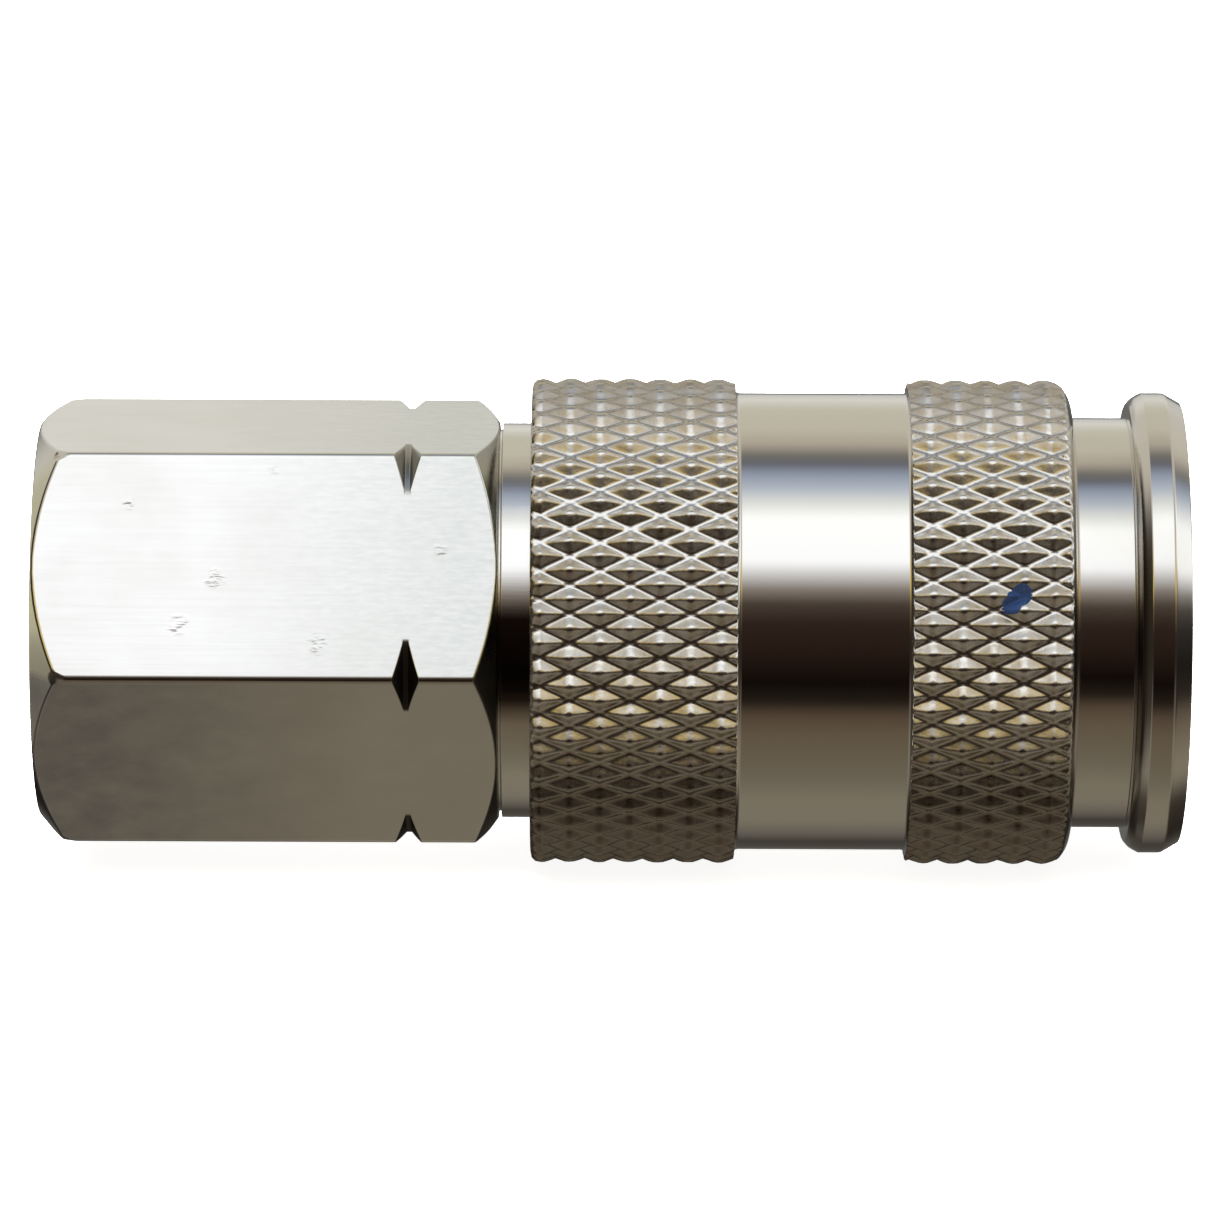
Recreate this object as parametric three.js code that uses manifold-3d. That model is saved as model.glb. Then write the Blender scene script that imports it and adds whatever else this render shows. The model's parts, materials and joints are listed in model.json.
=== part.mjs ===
// The female half of a push-to-connect quick disconnect coupler for compressed air, standing empty
// with its sleeve held back: a hexagon adapter with a G 1/4 port, a nose body with six locking
// balls, a knurled sliding sleeve and the shut-off valve inside.
//
// Millimetres. The axis is X, from the port to the plug socket, and the origin is the middle of the
// bounding box. Two of the hexagon's flats face up and down. Lengths along the axis are given as
// stations, which count from the port end.

import * as THREE from 'three';
import { mergeVertices } from 'three/addons/utils/BufferGeometryUtils.js';
import Module from 'manifold-3d';

const wasm = await Module();
wasm.setup();

// ---------------------------------------------------------------- driving dimensions

const LENGTH = 54.2;
const ROUND_SIDES = 36; // a multiple of four, so that flats face up, down and sideways
const INNER_SIDES = 24;
const WIRE_SIDES = 6;
const FIT = 0.05; // face gap between pieces that touch

const hexagon = { flats: 19, corner: 10.97, end: 21.85, frontRadius: 9.4, frontCorner: 20.75 };
const portEnd = { radius: 9.35, corner: 1.36 };
const notch = { station: 17.6, halfWidth: 0.64, bottomHalf: 0.12, radius: 10.17 };
const neck = { undercut: 9.24, undercutEnd: 22.05, radius: 9.41, end: 28 };
const port = { minor: 5.72, mouth: 6.7, depth: 12, passage: 4.4 };
const chamber = { start: 19.8, radius: 6, end: 23 };
const joint = { bore: 7, spigot: 6.95, spigotStart: 23.5 };

const nose = {
  barrel: 8.1, ballStep: 41.2, ballZone: 8.9, guideStart: 46.6, guide: 9.77,
  flangeStart: 51.52, flange: 10.97, flankAxial: 0.83, flankRadial: 1.2,
  chamferStart: 53.4, faceRadius: 10.5, mouth: 6.6, mouthDepth: 0.9,
};
const socket = { lipStart: 33.6, lipEnd: 34.2, lip: 4.9, keeperBore: 5.95, step: 41.3, bore: 5.7 };

const ball = {
  count: 6, radius: 2, around: 12, rows: 8, station: 44.3, centre: 7.75,
  hole: 2.12, holeSides: 16, seat: 1.8, seatTop: 6.55,
};
const keeper = {
  start: 40.2, flangeEnd: 41.2, end: 44.7, flange: 5.85, outer: 5.6, inner: 4.6,
  outerChamfer: 0.2, innerChamfer: 0.3,
};
const keeperWire = { wire: 0.6, radius: 5.15, turns: 3, stepsPerTurn: 14 };

const seat = { start: 30.4, end: 31.1, inner: 4.5 };
const seal = {
  start: 31.2, end: 33.5, inner: 4.5, groove: 5.0, outer: 5.92,
  lip: 0.6, grooveAxial: 0.4, grooveRadial: 0.3,
};
const poppet = { tail: 20, stem: 1.6, headStart: 28.4, head: 5.2, headEnd: 29.8, boss: 3.2, tip: 33.2 };
const face = { end: 30.3, inner: 3.3, outer: 5.1 };
const spider = { thickness: 0.8, hub: 2.4, hole: 1.75, rim: 4, outer: 5.9, legs: 3, legAngle: 0.5 };
const valveWire = { wire: 0.6, radius: 4.6, turns: 5, stepsPerTurn: 14 };

const sleeve = {
  start: 23.36, end: 49, knurl: 11.55, waist: 10.885, rearBandEnd: 33.04, frontBandStart: 41.2,
  rearRound: 0.5, bandRound: 0.65, frontChamfer: 0.3, bevelStart: 48, bevelRadius: 10,
  rearBore: 9.5, landStart: 38.5, land: 9.15, landEnd: 42.1, rampEnd: 43.1, frontBore: 9.85,
};
const washer = { inner: 8.3, outer: 9.35, rearEnd: 28.6, frontStart: 37.7, frontEnd: 38.4 };
const sleeveWire = { wire: 1, radius: 8.8, turns: 5, stepsPerTurn: 20 };

// ---------------------------------------------------------------- materials

const metal = (color, roughness) => new THREE.MeshStandardMaterial({ color, roughness, metalness: 1 });
const nickel = metal(0xc9c4ba, 0.28);
const brass = metal(0xb9974f, 0.35);
const steel = metal(0x9c9a95, 0.3);
const springSteel = metal(0x8b8a86, 0.35);
const rubber = new THREE.MeshStandardMaterial({ color: 0x161616, roughness: 0.8, metalness: 0 });

// ---------------------------------------------------------------- shape helpers

/** Rounds a corner: points on a quarter ellipse, from the first angle to the second, in degrees. */
function arc(station, radius, axial, radial, from, to, steps = 3) {
  return Array.from({ length: steps + 1 }, (_, i) => {
    const angle = THREE.MathUtils.degToRad(from + ((to - from) * i) / steps);
    return [station + axial * Math.cos(angle), radius + radial * Math.sin(angle)];
  });
}

/** A solid of revolution about X. The outline is [station, radius] pairs, closed on itself or by the axis. */
function turned(outline, sides = ROUND_SIDES) {
  const points = outline.map(([station, radius]) => new THREE.Vector2(radius, station - LENGTH / 2));
  if (points[0].x > 0) points.push(points[0].clone());
  if (THREE.ShapeUtils.area(points) < 0) points.reverse();
  return new THREE.LatheGeometry(points, sides, Math.PI / sides).rotateZ(-Math.PI / 2);
}

/** A plain ring between two stations. */
function ring(start, end, inner, outer) {
  return turned([[start, inner], [end, inner], [end, outer], [start, outer]], INNER_SIDES);
}

/** A geometry as a solid for joining and cutting. */
function toSolid(geometry) {
  geometry.deleteAttribute('normal');
  geometry.deleteAttribute('uv');
  const merged = mergeVertices(geometry, 1e-4);
  return new wasm.Manifold(new wasm.Mesh({
    numProp: 3,
    vertProperties: new Float32Array(merged.attributes.position.array),
    triVerts: new Uint32Array(merged.index.array),
  }));
}

/** A cut or joined solid as a geometry again. */
function toGeometry(solid) {
  const { vertProperties, triVerts } = solid.getMesh();
  const geometry = new THREE.BufferGeometry();
  geometry.setAttribute('position', new THREE.BufferAttribute(vertProperties, 3));
  geometry.setIndex(new THREE.BufferAttribute(triVerts, 1));
  geometry.computeVertexNormals();
  return geometry;
}

/** The centre line of a compression spring along X, with one closed turn at each end. */
class SpringLine extends THREE.Curve {
  constructor(start, end, { wire, radius, turns }) {
    super();
    this.first = start + wire / 2 - LENGTH / 2;
    this.endPitch = wire * 1.06;
    this.openPitch = (end - start - wire - 2 * this.endPitch) / (turns - 2);
    this.radius = radius;
    this.turns = turns;
  }

  getPoint(t, target = new THREE.Vector3()) {
    const turn = this.turns * t;
    const closed = Math.min(turn, 1) + Math.max(turn - this.turns + 1, 0);
    const along = this.first + closed * this.endPitch + (turn - closed) * this.openPitch;
    const angle = 2 * Math.PI * turn;
    return target.set(along, this.radius * Math.cos(angle), this.radius * Math.sin(angle));
  }
}

/** A wire spring between two stations. */
function spring(start, end, size) {
  const section = Array.from({ length: WIRE_SIDES }, (_, i) => {
    const angle = (2 * Math.PI * i) / WIRE_SIDES;
    return new THREE.Vector2(Math.cos(angle), Math.sin(angle)).multiplyScalar(size.wire / 2);
  });
  return new THREE.ExtrudeGeometry(new THREE.Shape(section), {
    steps: size.turns * size.stepsPerTurn,
    extrudePath: new SpringLine(start, end, size),
    bevelEnabled: false,
  });
}

const coupler = new THREE.Group();
coupler.name = 'quick_disconnect_coupler';

function add(name, geometry, material, parent = coupler) {
  const mesh = new THREE.Mesh(geometry, material);
  mesh.name = name;
  parent.add(mesh);
  return mesh;
}

// ---------------------------------------------------------------- adapter

/** The hexagon bar, turned at both ends, with the port bored in one end and the body joint in the other. */
function adapterGeometry() {
  const blank = turned([
    [0, portEnd.radius],
    [portEnd.corner, hexagon.corner],
    [notch.station - notch.halfWidth, hexagon.corner],
    [notch.station - notch.bottomHalf, notch.radius],
    [notch.station + notch.bottomHalf, notch.radius],
    [notch.station + notch.halfWidth, hexagon.corner],
    [hexagon.frontCorner, hexagon.corner],
    [hexagon.end, hexagon.frontRadius],
    [hexagon.end, neck.undercut],
    [neck.undercutEnd, neck.undercut],
    [neck.undercutEnd, neck.radius],
    [neck.end, neck.radius],
    [neck.end, joint.bore],
    [chamber.end, joint.bore],
    [chamber.end, chamber.radius],
    [chamber.start, chamber.radius],
    [chamber.start, port.passage],
    [port.depth, port.passage],
    [port.depth, port.minor],
    [port.mouth - port.minor, port.minor],
    [0, port.mouth],
  ]);
  const corners = Array.from({ length: 6 }, (_, i) => {
    const angle = (Math.PI / 3) * i;
    return new THREE.Vector2(Math.sin(angle), Math.cos(angle)).multiplyScalar(hexagon.flats / Math.sqrt(3));
  });
  // The prism is longer than the blank; the neck is thinner than its flats, so they leave it round.
  const prism = new THREE.ExtrudeGeometry(new THREE.Shape(corners), { depth: LENGTH, bevelEnabled: false })
    .rotateY(Math.PI / 2)
    .translate(-LENGTH / 2 - 1, 0, 0);
  return toGeometry(toSolid(blank).intersect(toSolid(prism)));
}

add('adapter_body', adapterGeometry(), nickel);
add('body_gasket', ring(chamber.end + FIT, joint.spigotStart - FIT, chamber.radius + FIT, joint.spigot - FIT), rubber);

// ---------------------------------------------------------------- nose body and balls

/** The direction from the axis to one ball. */
function ballAngle(index) {
  return (2 * Math.PI * index) / ball.count;
}

/** The tapered hole that holds one ball, drilled from outside. */
function ballHole(index) {
  const outside = nose.guide + 1;
  const taper = (ball.hole - ball.seat) / (ball.seatTop - socket.bore);
  const tip = socket.bore - 1;
  const outline = [[0, tip], [ball.seat - taper, tip], [ball.hole, ball.seatTop], [ball.hole, outside], [0, outside]];
  const points = outline.map(([radius, height]) => new THREE.Vector2(radius, height));
  return new THREE.LatheGeometry(points, ball.holeSides)
    .rotateX(Math.PI / 2)
    .rotateX(-ballAngle(index))
    .translate(ball.station - LENGTH / 2, 0, 0);
}

/** The nose: a spigot that screws into the adapter, a barrel, the ball zone, the sleeve guide and the flange. */
function noseGeometry() {
  const blank = turned([
    [joint.spigotStart, chamber.radius],
    [joint.spigotStart, joint.spigot],
    [neck.end + FIT, joint.spigot],
    [neck.end + FIT, nose.barrel],
    [nose.ballStep, nose.barrel],
    [nose.ballStep, nose.ballZone],
    [nose.guideStart, nose.ballZone],
    [nose.guideStart, nose.guide],
    ...arc(nose.flangeStart + nose.flankAxial, nose.flange - nose.flankRadial,
      nose.flankAxial, nose.flankRadial, 180, 90),
    [nose.chamferStart, nose.flange],
    [LENGTH, nose.faceRadius],
    [LENGTH, nose.mouth],
    [LENGTH - nose.mouthDepth, socket.bore],
    [socket.step, socket.bore],
    [socket.step, socket.keeperBore],
    [socket.lipEnd, socket.keeperBore],
    [socket.lipEnd, socket.lip],
    [socket.lipStart, socket.lip],
    [socket.lipStart, chamber.radius],
  ]);
  let body = toSolid(blank);
  for (let i = 0; i < ball.count; i += 1) body = body.subtract(toSolid(ballHole(i)));
  return toGeometry(body);
}

add('nose_body', noseGeometry(), nickel);

for (let i = 0; i < ball.count; i += 1) {
  const mesh = add(`ball_${i + 1}`, new THREE.SphereGeometry(ball.radius, ball.around, ball.rows), steel);
  const angle = ballAngle(i);
  mesh.position.set(ball.station - LENGTH / 2, ball.centre * Math.sin(angle), ball.centre * Math.cos(angle));
}

// ---------------------------------------------------------------- ball keeper

add('ball_keeper', turned([
  [keeper.start, keeper.inner],
  [keeper.start, keeper.flange],
  [keeper.flangeEnd, keeper.flange],
  [keeper.flangeEnd, keeper.outer],
  [keeper.end - keeper.outerChamfer, keeper.outer],
  [keeper.end, keeper.outer - keeper.outerChamfer],
  [keeper.end, keeper.inner + keeper.innerChamfer],
  [keeper.end - keeper.innerChamfer, keeper.inner],
], INNER_SIDES), brass);
add('keeper_spring', spring(socket.lipEnd + FIT, keeper.start - FIT, keeperWire), springSteel);

// ---------------------------------------------------------------- plug seal and valve

add('plug_seal', turned([
  [seal.start, seal.inner],
  [seal.start, seal.outer],
  [seal.end, seal.outer],
  [seal.end, seal.inner],
  [seal.end - seal.lip, seal.inner],
  ...arc((seal.start + seal.end) / 2, seal.groove - seal.grooveRadial, seal.grooveAxial,
    seal.grooveRadial, 0, 180),
  [seal.start + seal.lip, seal.inner],
], INNER_SIDES), rubber);
add('seal_clamp_ring', ring(seat.start, seat.end, seat.inner, seal.outer), brass);

const valve = new THREE.Group();
coupler.add(valve);
add('valve_poppet', turned([
  [poppet.tail, 0],
  [poppet.tail, poppet.stem],
  [poppet.headStart, poppet.stem],
  [poppet.headStart, poppet.head],
  [poppet.headEnd, poppet.head],
  [poppet.headEnd, poppet.boss],
  [poppet.tip, poppet.boss],
  [poppet.tip, 0],
], INNER_SIDES), brass, valve);
add('valve_seal', ring(poppet.headEnd + FIT, face.end, face.inner, face.outer), rubber, valve);

/** The perforated plate that guides the valve's stem and takes the valve spring. */
function spiderGeometry() {
  const plate = new THREE.Shape().absarc(0, 0, spider.outer, 0, 2 * Math.PI);
  plate.holes.push(new THREE.Path().absarc(0, 0, spider.hole, 0, 2 * Math.PI, true));
  const share = (2 * Math.PI) / spider.legs;
  for (let i = 0; i < spider.legs; i += 1) {
    const from = share * i + spider.legAngle / 2;
    const to = share * (i + 1) - spider.legAngle / 2;
    const window = new THREE.Path();
    window.absarc(0, 0, spider.rim, from, to, false);
    window.absarc(0, 0, spider.hub, to, from, true);
    window.closePath();
    plate.holes.push(window);
  }
  return new THREE.ExtrudeGeometry(plate, { depth: spider.thickness, bevelEnabled: false, curveSegments: 10 })
    .rotateY(Math.PI / 2)
    .translate(chamber.start + FIT - LENGTH / 2, 0, 0);
}

const spiderEnd = chamber.start + FIT + spider.thickness;
add('spring_spider', spiderGeometry(), brass);
add('valve_spring', spring(spiderEnd + FIT, poppet.headStart - FIT, valveWire), springSteel);

// ---------------------------------------------------------------- sleeve

/** The grip: two knurl bands, left plain here, a smooth waist, and the locking land inside. */
function sleeveGeometry() {
  const { knurl, waist, rearRound, bandRound } = sleeve;
  return turned([
    [sleeve.start, sleeve.rearBore],
    ...arc(sleeve.start + rearRound, knurl - rearRound, rearRound, rearRound, 180, 90),
    ...arc(sleeve.rearBandEnd - bandRound, knurl - bandRound, bandRound, bandRound, 90, 0),
    [sleeve.rearBandEnd, waist],
    [sleeve.frontBandStart, waist],
    [sleeve.frontBandStart, knurl - sleeve.frontChamfer],
    [sleeve.frontBandStart + sleeve.frontChamfer, knurl],
    ...arc(sleeve.bevelStart, sleeve.bevelRadius, sleeve.end - sleeve.bevelStart,
      knurl - sleeve.bevelRadius, 90, 0),
    [sleeve.end, sleeve.frontBore],
    [sleeve.rampEnd, sleeve.frontBore],
    [sleeve.landEnd, sleeve.land],
    [sleeve.landStart, sleeve.land],
    [sleeve.landStart, sleeve.rearBore],
  ]);
}

add('sleeve', sleeveGeometry(), nickel);
add('rear_spring_washer', ring(neck.end + FIT, washer.rearEnd, washer.inner, washer.outer), steel);
add('thrust_washer', ring(washer.frontStart, washer.frontEnd, washer.inner, washer.outer), steel);
add('sleeve_spring', spring(washer.rearEnd + FIT, washer.frontStart - FIT, sleeveWire), springSteel);

export default coupler;
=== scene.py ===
"""Looks of the quick disconnect coupler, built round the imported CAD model.

Shapes are given in millimetres, as stations along the axis from the port end and radii from the
axis, and become metres when a mesh is made.
"""

import json
import math
import random

import bpy
import numpy as np
from mathutils import Matrix, Vector


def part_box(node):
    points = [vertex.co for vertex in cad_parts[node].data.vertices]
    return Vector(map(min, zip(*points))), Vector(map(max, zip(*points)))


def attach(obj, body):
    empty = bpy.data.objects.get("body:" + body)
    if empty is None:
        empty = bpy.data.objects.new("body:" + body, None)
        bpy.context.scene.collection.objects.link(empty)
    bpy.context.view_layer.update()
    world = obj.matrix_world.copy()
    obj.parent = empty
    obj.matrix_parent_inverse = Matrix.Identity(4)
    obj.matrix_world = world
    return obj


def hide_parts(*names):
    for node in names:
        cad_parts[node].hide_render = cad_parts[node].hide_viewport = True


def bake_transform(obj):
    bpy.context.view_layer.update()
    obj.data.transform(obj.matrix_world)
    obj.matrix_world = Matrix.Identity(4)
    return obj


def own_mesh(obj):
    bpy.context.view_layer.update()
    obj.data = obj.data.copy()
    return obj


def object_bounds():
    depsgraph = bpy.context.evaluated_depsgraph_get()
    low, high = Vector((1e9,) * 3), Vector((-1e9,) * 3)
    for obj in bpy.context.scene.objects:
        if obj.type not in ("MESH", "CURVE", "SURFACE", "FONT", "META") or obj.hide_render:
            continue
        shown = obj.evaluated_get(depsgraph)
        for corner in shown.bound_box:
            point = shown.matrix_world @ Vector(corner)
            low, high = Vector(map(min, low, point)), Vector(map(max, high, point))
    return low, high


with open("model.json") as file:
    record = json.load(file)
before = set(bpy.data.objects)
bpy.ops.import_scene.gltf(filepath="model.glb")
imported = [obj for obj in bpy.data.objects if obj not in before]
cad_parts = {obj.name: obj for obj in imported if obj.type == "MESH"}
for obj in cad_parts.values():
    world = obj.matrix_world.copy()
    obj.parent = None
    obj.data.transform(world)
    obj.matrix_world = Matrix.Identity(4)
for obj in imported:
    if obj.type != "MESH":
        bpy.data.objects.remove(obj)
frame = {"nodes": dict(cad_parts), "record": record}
cad_low, cad_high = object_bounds()

# ---------------------------------------------------------------- sizes, in millimetres

MM = 0.001
PORT_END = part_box("adapter_body")[0].x
TURN = 2 * math.pi


def station(x):
    """How far a point at x, in metres, is from the port end, in millimetres."""
    return (x - PORT_END) / MM


def x_at(along):
    """The x, in metres, of a station."""
    return PORT_END + along * MM


def ends(node):
    """The first and last station of a CAD node."""
    low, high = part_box(node)
    return station(low.x), station(high.x)


ADAPTER_END = ends("adapter_body")[1]
NOSE_START, NOSE_END = ends("nose_body")
SLEEVE_START, SLEEVE_END = ends("sleeve")
SLEEVE_MIDDLE = (SLEEVE_START + SLEEVE_END) / 2
KEEPER_START, KEEPER_END = ends("ball_keeper")
SEAL_START, SEAL_END = ends("plug_seal")
BALL_STATION = sum(ends("ball_1")) / 2
BALL_RADIUS = ends("ball_1")[1] - BALL_STATION
BALLS = 6

FLATS = 2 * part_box("adapter_body")[1].z / MM
HEX_END, HEX_CORNER = 21.85, FLATS / math.sqrt(3)
NOTCH_STATION, NOTCH_FLOOR = 17.6, 10.17
NOTCH_HALF_WIDTH, NOTCH_WIDENING = 0.12, 0.52  # at its floor, and from there to the corners
NECK = 9.41
FRONT_CHAMFER, FRONT_RADIUS = 1.1, 9.4  # the hexagon's end beside the neck
FLANGE_FLANK, FLANGE_TAPER = 51.58, 53.38
THREAD_PITCH, THREAD_MINOR, THREAD_MAJOR = 25.4 / 19, 5.72, 6.58

KNURL = 11.55  # radius at the tips
KNURL_COUNT = 52
KNURL_PERIOD = 2.82  # along the axis
KNURL_STEPS = 12  # mesh steps to one period, both ways
KNURL_SLOPE = 0.82
KNURL_ROOTS = (0.17, 0.13)  # half the width of each set of grooves' round bottoms
KNURL_FLOOR = 11.18  # radius at the grooves' bottoms
KNURL_ANGLE = math.radians(149.55)
REAR_KNURL_STATION, FRONT_KNURL_STATION = 28.04, 44.92
WAIST = 10.885

# ---------------------------------------------------------------- mesh tools


def rounded(outline, steps=3):
    """A closed outline of (station, radius, rounding) corners as points, with each corner rounded.

    The rounding is how far from the corner it begins. A point just outside each end of it keeps the
    faces beside it flat to the light.
    """
    corners = np.array([corner[:2] for corner in outline], float)
    points = []
    for i, (_, _, wanted) in enumerate(outline):
        here = corners[i]
        back, on = corners[i - 1] - here, corners[(i + 1) % len(corners)] - here
        back_length, on_length = np.linalg.norm(back), np.linalg.norm(on)
        back, on = back / back_length, on / on_length
        reach = min(wanted, 0.4 * back_length, 0.4 * on_length)
        margin = min(0.04, 0.3 * reach)
        start, end = here + back * reach, here + on * reach
        points.append(start + back * margin)
        for t in np.linspace(0, 1, steps + 1):
            points.append((1 - t) ** 2 * start + 2 * t * (1 - t) * here + t**2 * end)
        points.append(end + on * margin)
    return np.array(points)


def round_angles(columns, first=0.0):
    return first + TURN * np.arange(columns) / columns


def make_mesh(name, points, faces):
    """A smooth-shaded object from points in millimetres, stations along X, with its faces outward."""
    coordinates = np.array(points, float) * MM
    coordinates[:, 0] += PORT_END
    mesh = bpy.data.meshes.new(name)
    mesh.from_pydata(coordinates.tolist(), [], faces)
    mesh.update()
    mesh.calc_loop_triangles()
    volume = 0.0
    for face in mesh.loop_triangles:
        a, b, c = (mesh.vertices[v].co for v in face.vertices)
        volume += a.dot(b.cross(c))
    if volume < 0:
        mesh.flip_normals()
    mesh.polygons.foreach_set("use_smooth", [True] * len(mesh.polygons))
    made = bpy.data.objects.new(name, mesh)
    bpy.context.scene.collection.objects.link(made)
    return made


def turned_points(stations, radii, angles):
    """Points on rings: stations and radii are rows by columns, and angles run from +Y to +Z."""
    shape = radii.shape
    along = np.broadcast_to(stations, shape)
    across, up = radii * np.cos(angles), radii * np.sin(angles)
    return np.stack([along, across, up], axis=-1).reshape(-1, 3)


def ring_faces(rows, columns, wrap_rows):
    faces = []
    for i in range(rows if wrap_rows else rows - 1):
        j = (i + 1) % rows
        for k in range(columns):
            m = (k + 1) % columns
            faces.append((i * columns + k, i * columns + m, j * columns + m, j * columns + k))
    return faces


def turned(name, outline, columns=128, steps=3):
    """A ring-shaped solid of revolution with rounded corners."""
    points = rounded(outline, steps)
    angles = round_angles(columns)
    radii = np.repeat(points[:, 1:], columns, axis=1)
    grid = turned_points(points[:, :1], radii, angles)
    return make_mesh(name, grid, ring_faces(len(points), columns, True))


def turned_on_axis(name, outline, columns=96):
    """A solid of revolution that reaches the axis. The outline's first and last corners lie on it."""
    points = rounded(outline)
    per_corner = len(points) // len(outline)
    points = points[per_corner:-per_corner]
    angles = round_angles(columns)
    radii = np.repeat(points[:, 1:], columns, axis=1)
    grid = turned_points(points[:, :1], radii, angles).tolist()
    faces = ring_faces(len(points), columns, False)
    last = (len(points) - 1) * columns
    grid += [[outline[0][0], 0, 0], [outline[-1][0], 0, 0]]
    for k in range(columns):
        m = (k + 1) % columns
        faces.append((len(grid) - 2, m, k))
        faces.append((len(grid) - 1, last + k, last + m))
    return make_mesh(name, grid, faces)


def dress(piece, body, slot, material, *nodes):
    """Gives a piece its body and its material, and hides the CAD nodes that it stands for. The slot is not
    used.
    """
    if body:
        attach(piece, body)
    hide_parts(*nodes)
    piece.data.materials.clear()
    piece.data.materials.append(material)
    return piece


# ---------------------------------------------------------------- materials


class Nodes:
    """A node tree, with short calls for the nodes used here."""

    def __init__(self, tree):
        self.tree = tree

    def add(self, kind, settings=(), **inputs):
        node = self.tree.nodes.new(kind)
        for key, value in dict(settings).items():
            setattr(node, key, value)
        for key, value in inputs.items():
            self.set(node.inputs[key.replace("_", " ")], value)
        return node

    def set(self, socket, value):
        if isinstance(value, bpy.types.NodeSocket):
            self.tree.links.new(value, socket)
        else:
            socket.default_value = value

    def span(self, value, low, high, to_low, to_high, ease="LINEAR"):
        """Maps a value from one range to another, and stops at its ends."""
        node = self.add("ShaderNodeMapRange", {"interpolation_type": ease})
        for index, item in enumerate((value, low, high, to_low, to_high)):
            self.set(node.inputs[index], item)
        return node.outputs["Result"]

    def mix(self, share, first, second):
        node = self.add("ShaderNodeMix", {"data_type": "RGBA"})
        self.set(node.inputs["Factor"], share)
        self.set(node.inputs["A"], first)
        self.set(node.inputs["B"], second)
        return node.outputs["Result"]

    def calculate(self, operation, first, second=0.0):
        node = self.add("ShaderNodeMath", {"operation": operation})
        self.set(node.inputs[0], first)
        self.set(node.inputs[1], second)
        return node.outputs["Value"]

    def product(self, first, *others):
        for other in others:
            first = self.calculate("MULTIPLY", first, other)
        return first


class Surface(Nodes):
    """A new material's nodes, and the place of the point being shaded, in metres."""

    def __init__(self, name, metallic=0.0):
        self.material = bpy.data.materials.new(name)
        self.material.use_nodes = True
        super().__init__(self.material.node_tree)
        self.shader = self.tree.nodes["Principled BSDF"]
        self.shader.inputs["Metallic"].default_value = metallic
        self.place = self.add("ShaderNodeTexCoord").outputs["Object"]

    def coordinates(self):
        return self.add("ShaderNodeSeparateXYZ", Vector=self.place).outputs

    def noise(self, scale, detail=3.0):
        """Noise from 0 to 1, with its scale per metre given for each axis."""
        stretched = self.add("ShaderNodeMapping", Vector=self.place, Scale=scale).outputs["Vector"]
        node = self.add("ShaderNodeTexNoise", Vector=stretched, Scale=1.0, Detail=detail, Roughness=0.55)
        return node.outputs["Fac"]

    def vector(self, operation, second, first=None):
        node = self.add("ShaderNodeVectorMath", {"operation": operation})
        self.set(node.inputs[0], first or self.place)
        self.set(node.inputs[1], second)
        return node

    def from_axis(self):
        """The point's radius."""
        across = self.vector("MULTIPLY", (0, 1, 1)).outputs[0]
        return self.vector("LENGTH", (0, 0, 0), across).outputs["Value"]

    def bump(self, height, distance, normal=None):
        node = self.add("ShaderNodeBump", Height=height, Distance=distance, Strength=1.0)
        if normal is not None:
            self.set(node.inputs["Normal"], normal)
        return node.outputs["Normal"]

    def finish(self, base, roughness, normal):
        """Gives the shader its look, and returns the material."""
        self.set(self.shader.inputs["Base Color"], base)
        self.set(self.shader.inputs["Roughness"], roughness)
        self.set(self.shader.inputs["Normal"], normal)
        return self.material


def colour(red, green, blue):
    return (red, green, blue, 1.0)


NICKEL = colour(0.7, 0.675, 0.63)
DULL_NICKEL = colour(0.67, 0.645, 0.595)
DRAWN_NICKEL = colour(0.75, 0.73, 0.69)


def lathe_rings(n):
    """The fine rings that a lathe leaves."""
    return n.bump(n.noise((24000, 200, 200), 2), 0.0000015)


def flank_painted_shade(n):
    """Most of 1 on the middle of the flange's flank, where shade is painted into the colour."""
    x, _, z = n.coordinates()
    on_flank = n.span(x, x_at(FLANGE_FLANK - 0.03), x_at(FLANGE_FLANK), 0.0, 1.0)
    off_rim = n.span(x, x_at(FLANGE_FLANK + 0.35), x_at(FLANGE_FLANK + 0.6), 1.0, 0.0)
    below = n.span(z, 5 * MM, 8 * MM, 0.8, 0.0)
    above = n.span(z, -5.5 * MM, -3.5 * MM, 0.0, 1.0)
    return n.product(on_flank, off_rim, below, above)


def turned_metal():
    """The nose body's plating, with a lathe's rings, and painted shade on the flange's flank."""
    n = Surface("turned_nickel_plate", metallic=1.0)
    gloss = 0.1
    clouds = n.noise((260, 260, 260), 4)
    clean = n.mix(n.span(clouds, 0.35, 0.7, 0.0, 1.0), NICKEL, DULL_NICKEL)
    # painted shade: a dark band on the flange's flank, round its middle height
    base = n.mix(flank_painted_shade(n), clean, colour(0.1, 0.08, 0.06))
    return n.finish(base, n.span(clouds, 0.3, 0.75, gloss, gloss + 0.05), lathe_rings(n))


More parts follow.
